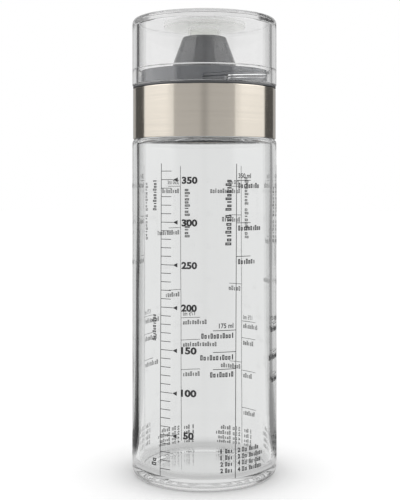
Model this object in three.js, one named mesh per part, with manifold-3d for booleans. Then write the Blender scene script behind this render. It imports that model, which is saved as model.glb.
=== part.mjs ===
/**
 * Salad dressing shaker: a straight glass bottle, a pouring closure with a steel band that screws
 * on to its neck, and a clear cap that opens with a quarter turn.
 *
 * Millimetres, +Z up. The origin is the centre of the ring that the bottle stands on.
 * Angles round the axis start at the front (-Y) and grow towards +X, as a right-hand thread climbs.
 */
import * as THREE from 'three';
import { mergeVertices } from 'three/addons/utils/BufferGeometryUtils.js';
import Module from 'manifold-3d';

const wasm = await Module();
wasm.setup();

// Facets
const segments = 60;
const arcStepDegrees = 32;
const smallArcStepDegrees = 90;
const smallArcRadius = 0.6;

// Clearances
const seatGap = 0.3;
const threadRadialPlay = 0.4;
const threadAxialPlay = 0.35;

// How deep each thread ridge is rooted in the wall that carries it
const ridgeSink = 0.4;

// Glass bottle
const bodyRadius = 32.5;
const glassWall = 2.9;
const floorThickness = 4.2;
const shoulderHeight = 150.2;
const heelRadius = 3.2;
const innerHeelRadius = 4.5;
const footRingWidth = 5;
const pushUpHeight = 1.4;
const pushUpSlopeWidth = 5;
const shoulderRadius = 2.2;
const innerShoulderRadius = 1.6;
const innerShoulderTopDepth = 1;
const innerShoulderDrop = 0.3;
const neckHeight = 18.2;
const neckFilletRadius = 0.8;
const rimRadius = 0.9;

// Thread between the neck and the closure
const neckThreadLead = 6;
const neckThreadDepth = 1.1;
const neckThreadRootWidth = 2.4;
const neckThreadCrestWidth = 1.2;
const neckThreadStartHeight = 6.8;
const neckThreadTurns = 1.25;
const closureThreadTurns = 1;
const neckThreadRunOutDegrees = 18;

// Neck gasket
const gasketThickness = 1.6;
const gasketEdgeRadius = 0.4;

// Steel band
const bandThickness = 0.5;
const bandInset = 0.3;
const bandShoulderLap = 0.2;
const bandEdgeRadius = 0.2;

// Pouring closure
const skirtWall = 1.8;
const skirtFootGap = 0.6;
const deckThickness = 2;
const flangeStep = 0.9;
const flangeThickness = 0.8;
const collarHeight = 6.8;
const collarWall = 1.8;
const collarEdgeRadius = 0.5;
const coneHeight = 23.4;
const coneTopRadius = 9.75;
const coneFlareDegrees = 20.3;
const coneLipRadius = 1;
const coneFootRadius = 1.5;
const mouthRadius = 7.6;
const mouthDepth = 3;
const mouthEdgeRadius = 0.5;
const coneWall = 2;

// Quarter-turn thread between the collar and the cap
const capThreadLead = 15;
const capThreadDepth = 1.1;
const capThreadRootWidth = 1.6;
const capThreadCrestWidth = 0.8;
const capThreadStarts = 2;
const capThreadStartDegrees = -2;
const capThreadStartHeight = 2.4;
const capThreadEntryDegrees = 1.5;
const capThreadRunOutDegrees = 12;
const capLugDelayDegrees = 18;
const capLugSweepDegrees = 45;
const capLugEndDegrees = 4;

// Clear cap
const capWall = 2.4;
const capTopThickness = 2.9;
const capHeadroom = 5.2;
const capTopEdgeRadius = 2.4;
const capRimRadius = 0.5;
const capCeilingRadius = 1;
const capStepWidth = 0.5;
const capStepGap = 0.4;

// Cap liner
const linerDiscRadius = 18.4;
const linerDiscThickness = 0.9;
const linerEdgeRadius = 0.3;
const plugPlay = 0.3;
const plugReach = 2;
const plugWall = 1.3;
const plugTipRadius = 0.6;
const plugRoof = 1.4;

// Radii that follow from the ones above, from the outside in
const bandRadius = bodyRadius - bandInset;
const skirtRadius = bandRadius - bandThickness - seatGap;
const skirtBoreRadius = skirtRadius - skirtWall;
const neckRadius = skirtBoreRadius - threadRadialPlay - neckThreadDepth;
const neckBoreRadius = neckRadius - glassWall;
const bottleBoreRadius = bodyRadius - glassWall;
const capBoreRadius = bodyRadius - capWall;
const collarRadius = capBoreRadius - threadRadialPlay - capThreadDepth;

// Heights that follow, each from the piece below it
const rimHeight = shoulderHeight + neckHeight;
const gasketHeight = rimHeight + seatGap;
const closureHeight = gasketHeight + gasketThickness + seatGap;
const flangeTop = deckThickness + flangeStep;
const flangeUnderside = flangeTop - flangeThickness;
const coneTop = deckThickness + coneHeight;
const capSeat = flangeTop + seatGap;
const capCeiling = coneTop + capHeadroom - capSeat;
const capHeight = capCeiling + capTopThickness;

// How far each screw's ridges reach round the axis
const capThreadRise = collarHeight - capThreadStartHeight - capThreadRootWidth / 2;
const capThreadSweepDegrees = 360 * capThreadRise / capThreadLead;

const neckThread = {
  lead: neckThreadLead,
  depth: neckThreadDepth,
  rootWidth: neckThreadRootWidth,
  crestWidth: neckThreadCrestWidth,
};
const capThread = {
  lead: capThreadLead,
  depth: capThreadDepth,
  rootWidth: capThreadRootWidth,
  crestWidth: capThreadCrestWidth,
};

const clearGlass = new THREE.MeshStandardMaterial({
  color: 0xe4ebe8, roughness: 0.03, metalness: 0, transparent: true, opacity: 0.35,
});
const clearPlastic = new THREE.MeshStandardMaterial({
  color: 0xeceeed, roughness: 0.06, metalness: 0, transparent: true, opacity: 0.35,
});
const brushedSteel = new THREE.MeshStandardMaterial({
  color: 0xb9b2a6, roughness: 0.32, metalness: 1,
});
const greyPlastic = new THREE.MeshStandardMaterial({
  color: 0x66686c, roughness: 0.25, metalness: 0,
});
const paleSilicone = new THREE.MeshStandardMaterial({
  color: 0xd6d4cd, roughness: 0.5, metalness: 0,
});
const greySilicone = new THREE.MeshStandardMaterial({
  color: 0x8d9092, roughness: 0.6, metalness: 0,
});

/**
 * A profile through corners [radius, height, fillet], where each fillet is a tangent arc.
 * An open profile starts and ends on the axis; a closed one returns to its first corner.
 */
function roundedProfile(corners, closed) {
  const points = [];
  const count = corners.length;
  corners.forEach(([radius, height, fillet = 0], index) => {
    const corner = new THREE.Vector2(radius, height);
    if (fillet === 0) {
      points.push(corner);
      return;
    }
    const previous = corners[(index + count - 1) % count];
    const next = corners[(index + 1) % count];
    const towardsPrevious = new THREE.Vector2(previous[0], previous[1]).sub(corner).normalize();
    const towardsNext = new THREE.Vector2(next[0], next[1]).sub(corner).normalize();
    const halfAngle = Math.acos(THREE.MathUtils.clamp(towardsPrevious.dot(towardsNext), -1, 1)) / 2;
    const bisector = towardsPrevious.clone().add(towardsNext).normalize();
    const centre = corner.clone().addScaledVector(bisector, fillet / Math.sin(halfAngle));
    const tangent = corner.clone().addScaledVector(towardsPrevious, fillet / Math.tan(halfAngle));
    const turnSense = Math.sign(towardsNext.cross(towardsPrevious));
    const turn = turnSense * (Math.PI - 2 * halfAngle);
    const stepDegrees = fillet > smallArcRadius ? arcStepDegrees : smallArcStepDegrees;
    const steps = Math.ceil(THREE.MathUtils.radToDeg(Math.abs(turn)) / stepDegrees);
    for (let step = 0; step <= steps; step += 1) {
      points.push(tangent.clone().rotateAround(centre, turn * step / steps));
    }
  });
  if (closed) {
    points.push(points[0].clone());
  }
  return points;
}

/** Turns a profile round the Z axis into one closed body. */
function revolve(corners, closed = true) {
  const lathe = new THREE.LatheGeometry(roundedProfile(corners, closed), segments);
  lathe.rotateX(Math.PI / 2);
  return sealed(lathe);
}

/** Merges the vertices that faces share, and drops the faces that shrink to nothing on the axis. */
function sealed(geometry) {
  geometry.deleteAttribute('normal');
  geometry.deleteAttribute('uv');
  const merged = mergeVertices(geometry);
  const kept = [];
  const corners = merged.index.array;
  for (let face = 0; face < corners.length; face += 3) {
    const [a, b, c] = corners.slice(face, face + 3);
    if (a !== b && b !== c && c !== a) {
      kept.push(a, b, c);
    }
  }
  merged.setIndex(kept);
  return merged;
}

/**
 * One thread ridge: a tapered section swept along a right-hand helix. Its root is sunk into the
 * wall at wallRadius, and its crest stands out of the wall, or into the bore where inwards is true.
 * It grows over entryDegrees and fades over runOutDegrees.
 */
function threadRidge(form, {
  wallRadius, inwards, height, startDegrees, sweepDegrees, entryDegrees, runOutDegrees,
}) {
  const sense = inwards ? -1 : 1;
  const sinkWidth = form.rootWidth + ridgeSink * (form.rootWidth - form.crestWidth) / form.depth;
  const stationDegrees = [0, entryDegrees];
  const plainSweep = sweepDegrees - entryDegrees - runOutDegrees;
  const plainSteps = Math.ceil(plainSweep * segments / 360);
  for (let step = 1; step <= plainSteps; step += 1) {
    stationDegrees.push(entryDegrees + plainSweep * step / plainSteps);
  }
  stationDegrees.push(sweepDegrees);
  const positions = [];
  stationDegrees.forEach((degrees, station) => {
    const isEnd = station === 0 || station === stationDegrees.length - 1;
    const rise = isEnd ? -ridgeSink / 2 : form.depth;
    const crestWidth = isEnd ? form.rootWidth : form.crestWidth;
    const angle = THREE.MathUtils.degToRad(startDegrees + degrees);
    const centre = height + form.lead * degrees / 360;
    const root = [wallRadius - sense * ridgeSink, sinkWidth / 2];
    const crest = [wallRadius + sense * rise, crestWidth / 2];
    const [inner, outer] = inwards ? [crest, root] : [root, crest];
    const section = [[inner, -1], [outer, -1], [outer, 1], [inner, 1]];
    section.forEach(([[radius, halfWidth], side]) => {
      positions.push(radius * Math.sin(angle), -radius * Math.cos(angle), centre + side * halfWidth);
    });
  });
  const faces = [0, 1, 2, 0, 2, 3];
  const last = 4 * (stationDegrees.length - 1);
  for (let base = 0; base < last; base += 4) {
    for (let side = 0; side < 4; side += 1) {
      const here = base + side;
      const beside = base + (side + 1) % 4;
      faces.push(beside, here, here + 4, beside, here + 4, beside + 4);
    }
  }
  faces.push(last, last + 2, last + 1, last, last + 3, last + 2);
  const ridge = new THREE.BufferGeometry();
  ridge.setAttribute('position', new THREE.Float32BufferAttribute(positions, 3));
  ridge.setIndex(faces);
  return ridge;
}

/** A closed geometry as a solid that can be joined to others. */
function toSolid(geometry) {
  return new wasm.Manifold(new wasm.Mesh({
    numProp: 3,
    vertProperties: new Float32Array(geometry.attributes.position.array),
    triVerts: new Uint32Array(geometry.index.array),
  }));
}

/** A body with ridges joined to it. */
function joined(body, ridges) {
  let solid = toSolid(body);
  ridges.forEach((ridge) => {
    solid = solid.add(toSolid(ridge));
  });
  const mesh = solid.getMesh();
  const geometry = new THREE.BufferGeometry();
  geometry.setAttribute('position', new THREE.Float32BufferAttribute(mesh.vertProperties, 3));
  geometry.setIndex(Array.from(mesh.triVerts));
  return geometry;
}

/** How far below a thread's centre line the thread that hangs under it has its own. */
function matingOffset(form) {
  const widthPerDepth = (form.rootWidth - form.crestWidth) / form.depth;
  const rootSpacing = form.depth + threadRadialPlay;
  return form.rootWidth - widthPerDepth * rootSpacing / 2 + threadAxialPlay;
}

/** The glass: push-up and foot ring, straight wall, small shoulder, threaded neck, open mouth. */
function glassBottle() {
  const footInnerRadius = bodyRadius - heelRadius - footRingWidth;
  const innerShoulderTop = shoulderHeight - innerShoulderTopDepth;
  const shell = revolve([
    [0, pushUpHeight],
    [footInnerRadius - pushUpSlopeWidth, pushUpHeight, pushUpSlopeWidth],
    [footInnerRadius, 0],
    [bodyRadius, 0, heelRadius],
    [bodyRadius, shoulderHeight, shoulderRadius],
    [neckRadius, shoulderHeight, neckFilletRadius],
    [neckRadius, rimHeight, rimRadius],
    [neckBoreRadius, rimHeight, rimRadius],
    [neckBoreRadius, innerShoulderTop, innerShoulderRadius],
    [bottleBoreRadius, innerShoulderTop - innerShoulderDrop, innerShoulderRadius],
    [bottleBoreRadius, floorThickness, innerHeelRadius],
    [0, floorThickness],
  ], false);
  const ridge = threadRidge(neckThread, {
    wallRadius: neckRadius,
    inwards: false,
    height: shoulderHeight + neckThreadStartHeight,
    startDegrees: 0,
    sweepDegrees: 360 * neckThreadTurns,
    entryDegrees: neckThreadRunOutDegrees,
    runOutDegrees: neckThreadRunOutDegrees,
  });
  return joined(shell, [ridge]);
}

/** The soft ring that seals the closure's deck on the glass rim. */
function neckGasket() {
  const innerRadius = neckBoreRadius + seatGap;
  const outerRadius = skirtBoreRadius - seatGap;
  return revolve([
    [innerRadius, 0, gasketEdgeRadius],
    [outerRadius, 0, gasketEdgeRadius],
    [outerRadius, gasketThickness, gasketEdgeRadius],
    [innerRadius, gasketThickness, gasketEdgeRadius],
  ]);
}

/**
 * The closure in one moulding: skirt with its inner thread, deck with the flange that covers the
 * band, collar with the ridges of the cap's thread, and the hollow pouring cone.
 * Its own zero is the underside of the deck.
 */
function pourClosure() {
  const skirtFoot = shoulderHeight + skirtFootGap - closureHeight;
  const flare = Math.tan(THREE.MathUtils.degToRad(coneFlareDegrees));
  const collarTop = flangeTop + collarHeight;
  const collarBoreRadius = collarRadius - collarWall;
  const coneFootOuter = coneTopRadius + flare * coneHeight;
  const coneFootInner = coneTopRadius + flare * coneTop - coneWall;
  const shell = revolve([
    [skirtBoreRadius, skirtFoot],
    [skirtRadius, skirtFoot],
    [skirtRadius, flangeUnderside],
    [bandRadius, flangeUnderside],
    [bandRadius, flangeTop],
    [collarRadius, flangeTop],
    [collarRadius, collarTop, collarEdgeRadius],
    [collarBoreRadius, collarTop, collarEdgeRadius],
    [collarBoreRadius, deckThickness],
    [coneFootOuter, deckThickness, coneFootRadius],
    [coneTopRadius, coneTop, coneLipRadius],
    [mouthRadius, coneTop, mouthEdgeRadius],
    [mouthRadius, coneTop - mouthDepth],
    [coneFootInner, 0],
    [skirtBoreRadius, 0],
  ]);
  const innerRidge = threadRidge(neckThread, {
    wallRadius: skirtBoreRadius,
    inwards: true,
    height: shoulderHeight + neckThreadStartHeight - matingOffset(neckThread) - closureHeight,
    startDegrees: 0,
    sweepDegrees: 360 * closureThreadTurns,
    entryDegrees: neckThreadRunOutDegrees,
    runOutDegrees: neckThreadRunOutDegrees,
  });
  const collarRidges = eachStart((startDegrees) => threadRidge(capThread, {
    wallRadius: collarRadius,
    inwards: false,
    height: flangeTop + capThreadStartHeight,
    startDegrees,
    sweepDegrees: capThreadSweepDegrees,
    entryDegrees: capThreadEntryDegrees,
    runOutDegrees: capThreadRunOutDegrees,
  }));
  return joined(shell, [innerRidge, ...collarRidges]);
}

/** Makes one ridge for each start of the quarter-turn thread. */
function eachStart(makeRidge) {
  const ridges = [];
  for (let start = 0; start < capThreadStarts; start += 1) {
    ridges.push(makeRidge(capThreadStartDegrees + 360 * start / capThreadStarts));
  }
  return ridges;
}

/** The brushed sleeve round the closure's skirt. Its own zero is its lower edge. */
function steelBand(height) {
  return revolve([
    [bandRadius - bandThickness, 0],
    [bandRadius, 0, bandEdgeRadius],
    [bandRadius, height, bandEdgeRadius],
    [bandRadius - bandThickness, height],
  ]);
}

/**
 * The clear cup with the lugs that hold it under the collar's ridges. Its wall is thicker above the
 * collar than round its thread. Its own zero is its rim.
 */
function clearCap() {
  const stepHeight = flangeTop + collarHeight + capStepGap - capSeat;
  const upperBoreRadius = capBoreRadius - capStepWidth;
  const shell = revolve([
    [0, capCeiling],
    [upperBoreRadius, capCeiling, capCeilingRadius],
    [upperBoreRadius, stepHeight + capStepWidth],
    [capBoreRadius, stepHeight],
    [capBoreRadius, 0],
    [bodyRadius, 0, capRimRadius],
    [bodyRadius, capHeight, capTopEdgeRadius],
    [0, capHeight],
  ], false);
  const lugRise = capThreadLead * capLugDelayDegrees / 360;
  const lugs = eachStart((startDegrees) => threadRidge(capThread, {
    wallRadius: capBoreRadius,
    inwards: true,
    height: capThreadStartHeight + lugRise - matingOffset(capThread) - seatGap,
    startDegrees: startDegrees + capLugDelayDegrees,
    sweepDegrees: capLugSweepDegrees,
    entryDegrees: capLugEndDegrees,
    runOutDegrees: capLugEndDegrees,
  }));
  return joined(shell, lugs);
}

/** The soft disc under the cap's ceiling, with the plug that shuts the mouth. Zero is its top. */
function capLiner() {
  const plugRadius = mouthRadius - plugPlay;
  const plugTip = -(capHeadroom - seatGap + plugReach);
  return revolve([
    [0, -plugRoof],
    [plugRadius - plugWall, -plugRoof],
    [plugRadius - plugWall, plugTip, plugTipRadius],
    [plugRadius, plugTip, plugTipRadius],
    [plugRadius, -linerDiscThickness],
    [linerDiscRadius, -linerDiscThickness, linerEdgeRadius],
    [linerDiscRadius, 0, linerEdgeRadius],
    [0, 0],
  ], false);
}

/** A named mesh at a height above its group's zero. */
function piece(name, geometry, material, height = 0) {
  const mesh = new THREE.Mesh(geometry, material);
  mesh.name = name;
  mesh.position.z = height;
  return mesh;
}

const bandFoot = shoulderHeight - bandShoulderLap - closureHeight;
const bandHeight = flangeUnderside - seatGap - bandFoot;

const cap = new THREE.Group();
cap.position.z = capSeat;
cap.add(
  piece('clear_cap', clearCap(), clearPlastic),
  piece('cap_liner', capLiner(), paleSilicone, capCeiling - seatGap),
);

const closure = new THREE.Group();
closure.position.z = closureHeight;
closure.add(
  piece('pour_closure', pourClosure(), greyPlastic),
  piece('steel_band', steelBand(bandHeight), brushedSteel, bandFoot),
  cap,
);

const shaker = new THREE.Group();
shaker.add(
  piece('glass_bottle', glassBottle(), clearGlass),
  piece('neck_gasket', neckGasket(), greySilicone, gasketHeight),
  closure,
);

export default shaker;
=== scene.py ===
import enum
import logging
import math
from dataclasses import dataclass

import bmesh
import bpy
from mathutils import Matrix, Vector


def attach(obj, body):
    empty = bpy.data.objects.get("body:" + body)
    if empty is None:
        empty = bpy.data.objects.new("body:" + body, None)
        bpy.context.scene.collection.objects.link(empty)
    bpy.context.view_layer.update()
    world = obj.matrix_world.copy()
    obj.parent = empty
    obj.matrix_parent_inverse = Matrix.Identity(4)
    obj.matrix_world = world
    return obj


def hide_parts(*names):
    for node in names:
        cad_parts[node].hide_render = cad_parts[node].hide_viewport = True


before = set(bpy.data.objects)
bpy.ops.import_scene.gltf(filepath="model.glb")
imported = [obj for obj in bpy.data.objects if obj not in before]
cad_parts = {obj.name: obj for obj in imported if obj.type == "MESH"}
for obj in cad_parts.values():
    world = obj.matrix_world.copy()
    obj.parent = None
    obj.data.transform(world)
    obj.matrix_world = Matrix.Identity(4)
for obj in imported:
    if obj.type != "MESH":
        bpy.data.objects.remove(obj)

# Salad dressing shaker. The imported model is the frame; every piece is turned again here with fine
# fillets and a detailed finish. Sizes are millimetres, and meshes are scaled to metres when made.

LOG = logging.getLogger("shaker")
METRES_PER_MM = 0.001
TURN_STEPS = 192
SHARP_EDGE_DEGREES = 38.0
Colour = tuple[float, float, float]
Stops = tuple[tuple[float, float], ...]
Body = bmesh.types.BMesh
Piece = bpy.types.Object
Tree = bpy.types.NodeTree
Socket = bpy.types.NodeSocket
Outputs = bpy.types.bpy_prop_collection
Material = bpy.types.Material
Inputs = dict[str | int, object]


# ---------------------------------------------------------------- sizes


@dataclass(frozen=True)
class ThreadForm:
    """The section of a screw thread: a ridge that narrows from root to crest."""

    lead: float
    depth: float
    root_width: float
    crest_width: float
    radial_play: float = 0.4
    axial_play: float = 0.35

    def mating_offset(self) -> float:
        """How far below this thread's centre line the thread that hangs under it has its own."""
        width_per_depth = (self.root_width - self.crest_width) / self.depth
        root_spacing = self.depth + self.radial_play
        return self.root_width - width_per_depth * root_spacing / 2 + self.axial_play


NECK_THREAD = ThreadForm(lead=6.0, depth=1.1, root_width=2.4, crest_width=1.2)
CAP_THREAD = ThreadForm(lead=15.0, depth=1.1, root_width=1.6, crest_width=0.8)


@dataclass(frozen=True)
class ShakerSizes:
    """The driving sizes of the whole shaker, in millimetres, and the ones that follow."""

    body_radius: float = 32.5
    glass_wall: float = 2.9
    floor_thickness: float = 4.2
    shoulder_height: float = 150.2
    neck_height: float = 18.2
    seat_gap: float = 0.3
    gasket_thickness: float = 1.6
    band_thickness: float = 0.5
    band_inset: float = 0.3
    skirt_wall: float = 1.8
    deck_thickness: float = 2.0
    flange_step: float = 0.9
    flange_thickness: float = 0.8
    collar_height: float = 6.8
    cone_height: float = 23.4
    cap_wall: float = 2.4
    cap_headroom: float = 5.2
    cap_top_thickness: float = 2.9

    @property
    def band_radius(self) -> float:
        """Outer radius of the steel band and of the flange over it."""
        return self.body_radius - self.band_inset

    @property
    def skirt_radius(self) -> float:
        """Outer radius of the skirt that carries the band."""
        return self.band_radius - self.band_thickness - self.seat_gap

    @property
    def skirt_bore_radius(self) -> float:
        """Radius of the skirt's threaded bore."""
        return self.skirt_radius - self.skirt_wall

    @property
    def neck_radius(self) -> float:
        """Outer radius of the glass neck under its thread."""
        return self.skirt_bore_radius - NECK_THREAD.radial_play - NECK_THREAD.depth

    @property
    def neck_bore_radius(self) -> float:
        """Inner radius of the glass neck."""
        return self.neck_radius - self.glass_wall

    @property
    def cap_bore_radius(self) -> float:
        """Inner radius of the clear cap."""
        return self.body_radius - self.cap_wall

    @property
    def collar_radius(self) -> float:
        """Outer radius of the collar under its thread."""
        return self.cap_bore_radius - CAP_THREAD.radial_play - CAP_THREAD.depth

    @property
    def rim_height(self) -> float:
        """Height of the glass rim."""
        return self.shoulder_height + self.neck_height

    @property
    def closure_height(self) -> float:
        """Height of the underside of the closure's deck."""
        return self.rim_height + 2 * self.seat_gap + self.gasket_thickness

    @property
    def flange_top(self) -> float:
        """Height of the flange's upper face."""
        return self.closure_height + self.deck_thickness + self.flange_step

    @property
    def flange_underside(self) -> float:
        """Height of the flange's lower face."""
        return self.flange_top - self.flange_thickness

    @property
    def collar_top(self) -> float:
        """Height of the collar's rim."""
        return self.flange_top + self.collar_height

    @property
    def cone_top(self) -> float:
        """Height of the pouring cone's lip."""
        return self.closure_height + self.deck_thickness + self.cone_height

    @property
    def cap_seat(self) -> float:
        """Height of the clear cap's rim."""
        return self.flange_top + self.seat_gap

    @property
    def cap_ceiling(self) -> float:
        """Height of the clear cap's ceiling."""
        return self.cone_top + self.cap_headroom

    @property
    def cap_top(self) -> float:
        """Height of the clear cap's outer top face."""
        return self.cap_ceiling + self.cap_top_thickness


SIZES = ShakerSizes()


# ---------------------------------------------------------------- turned meshes


@dataclass(frozen=True)
class Corner:
    """One corner of a turned profile, with the radius of its fillet."""

    radius: float
    height: float
    fillet: float = 0.0
    fillet_steps: int = 5


def bevel_corners(body: Body, verts: list[bmesh.types.BMVert], reach: float,
                  steps: int) -> None:
    """Rounds off corners of a flat section, from the given reach along their edges."""
    bmesh.ops.bevel(body, geom=verts, offset=reach, offset_type="OFFSET", segments=steps,
                    profile=0.5, affect="VERTICES", material=-1)


def fillet_reach(corner: Corner, before: Corner, after: Corner) -> float:
    """Finds how far from a corner, along its two edges, its fillet starts."""
    here = Vector((corner.radius, corner.height))
    arriving = (here - Vector((before.radius, before.height))).normalized()
    leaving = (Vector((after.radius, after.height)) - here).normalized()
    turn = arriving.angle(leaving)
    return corner.fillet * math.tan(turn / 2)


def turned_body(corners: list[Corner], steps: int = TURN_STEPS) -> Body:
    """Turns a profile once round the Z axis into a closed body.

    Args:
        corners: The profile. It is open where it starts and ends on the axis, and else a ring.
        steps: How many steps the full turn has.

    Returns:
        A bmesh in millimetres with outward normals.
    """
    body = bmesh.new()
    verts = [body.verts.new((corner.radius, 0.0, corner.height)) for corner in corners]
    profile = body.faces.new(verts)
    count = len(corners)
    for index, corner in enumerate(corners):
        if corner.fillet > 0:
            reach = fillet_reach(corner, corners[index - 1], corners[(index + 1) % count])
            bevel_corners(body, [verts[index]], reach, corner.fillet_steps)
    bmesh.ops.delete(body, geom=list(body.faces), context="FACES_ONLY")
    on_axis = [e for e in body.edges if max(v.co.x for v in e.verts) < 1e-6]
    bmesh.ops.delete(body, geom=on_axis, context="EDGES")
    bmesh.ops.spin(
        body, geom=list(body.verts) + list(body.edges), cent=(0, 0, 0), axis=(0, 0, 1),
        angle=2 * math.pi, steps=steps, use_merge=True,
    )
    bmesh.ops.remove_doubles(body, verts=list(body.verts), dist=1e-4)
    bmesh.ops.recalc_face_normals(body, faces=list(body.faces))
    return body


@dataclass(frozen=True)
class Ridge:
    """One thread ridge on a wall: where it starts and how far it climbs round the axis."""

    form: ThreadForm
    wall_radius: float
    inwards: bool
    height: float
    start_degrees: float
    sweep_degrees: float
    entry_degrees: float
    run_out_degrees: float
    sink: float = 0.4
    crest_fillet: float = 0.18

    def build(self) -> Body:
        """Makes the ridge as a closed body in millimetres, sunk a little into its wall."""
        form = self.form
        sense = -1 if self.inwards else 1
        sunk_width = form.root_width + self.sink * (form.root_width - form.crest_width) / form.depth
        root = self.wall_radius - sense * self.sink
        crest = self.wall_radius + sense * form.depth
        section = [
            (root, -sunk_width / 2), (crest, -form.crest_width / 2),
            (crest, form.crest_width / 2), (root, sunk_width / 2),
        ]
        ridge = bmesh.new()
        verts = [ridge.verts.new((0.0, -radius, self.height + rise)) for radius, rise in section]
        ridge.faces.new(verts)
        bevel_corners(ridge, verts[1:3], self.crest_fillet, 3)
        steps = max(8, round(TURN_STEPS * self.sweep_degrees / 360))
        turn = math.radians(self.sweep_degrees)
        bmesh.ops.rotate(
            ridge, verts=list(ridge.verts), cent=(0, 0, 0),
            matrix=Matrix.Rotation(math.radians(self.start_degrees), 3, "Z"),
        )
        rise_per_step = form.lead * self.sweep_degrees / 360 / steps
        bmesh.ops.spin(
            ridge, geom=list(ridge.verts) + list(ridge.edges) + list(ridge.faces),
            cent=(0, 0, 0), axis=(0, 0, 1), dvec=(0, 0, rise_per_step), angle=turn, steps=steps,
        )
        self.fade_ends(ridge)
        bmesh.ops.recalc_face_normals(ridge, faces=list(ridge.faces))
        return ridge

    def fade_ends(self, ridge: Body) -> None:
        """Lets the crest of the swept ridge sink into the wall at both ends."""
        sense = -1 if self.inwards else 1
        for vert in ridge.verts:
            radius = math.hypot(vert.co.x, vert.co.y)
            stand = sense * (radius - self.wall_radius)
            if stand <= 0:
                continue
            degrees = math.degrees(math.atan2(vert.co.x, -vert.co.y)) - self.start_degrees
            climbed = (vert.co.z - self.height) / self.form.lead * 360
            degrees += 360 * round((climbed - degrees) / 360)
            left = self.sweep_degrees - degrees
            share = min(1.0, max(0.0, degrees / self.entry_degrees))
            share = min(share, max(0.0, left / self.run_out_degrees))
            share = share * share * (3 - 2 * share)
            wanted = stand * share - self.sink / 2 * (1 - share)
            scale = (self.wall_radius + sense * wanted) / radius
            vert.co.x *= scale
            vert.co.y *= scale


def placed(name: str, data: bpy.types.ID) -> Piece:
    """Makes an object of a mesh, a curve or a camera, and puts it into the scene."""
    item = bpy.data.objects.new(name, data)
    bpy.context.scene.collection.objects.link(item)
    return item


def mesh_with_modifiers(piece: Piece) -> bpy.types.Mesh:
    """Makes a new mesh of a piece as it is with its modifiers, or of a text."""
    graph = bpy.context.evaluated_depsgraph_get()
    return bpy.data.meshes.new_from_object(piece.evaluated_get(graph))


def piece_from(name: str, body: Body) -> Piece:
    """Makes an object at the origin from a body in millimetres.

    Args:
        name: The piece's name.
        body: The body, which is freed.

    Returns:
        The new object, smooth shaded with its sharp edges marked.
    """
    bmesh.ops.scale(body, verts=list(body.verts), vec=(METRES_PER_MM,) * 3)
    mesh = bpy.data.meshes.new(name)
    body.to_mesh(mesh)
    body.free()
    piece = placed(name, mesh)
    shade(piece)
    return piece


def shade(piece: Piece) -> None:
    """Shades a piece smooth, and keeps its sharp edges sharp."""
    piece.data.shade_smooth()
    piece.data.set_sharp_from_angle(angle=math.radians(SHARP_EDGE_DEGREES))


def weighted_normals(piece: Piece) -> None:
    """Lets the large faces rule the normals, so that flat and straight walls stay true."""
    modifier = piece.modifiers.new("wall_normals", "WEIGHTED_NORMAL")
    modifier.mode = "FACE_AREA"
    modifier.weight = 100
    modifier.keep_sharp = True


def weld(piece: Piece, ridges: list[Ridge]) -> None:
    """Joins thread ridges to a piece as one solid.

    Args:
        piece: The object that carries the ridges, changed in place.
        ridges: The ridges.
    """
    for number, ridge in enumerate(ridges):
        tool = piece_from(f"{piece.name}_ridge_{number}", ridge.build())
        union = piece.modifiers.new("ridge", "BOOLEAN")
        union.operation = "UNION"
        union.solver = "EXACT"
        union.object = tool
        joined = mesh_with_modifiers(piece)
        piece.modifiers.clear()
        old = piece.data
        piece.data = joined
        joined.name = piece.name
        bpy.data.meshes.remove(old)
        tool_mesh = tool.data
        bpy.data.objects.remove(tool)
        bpy.data.meshes.remove(tool_mesh)
    shade(piece)


# ---------------------------------------------------------------- shader nodes


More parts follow.
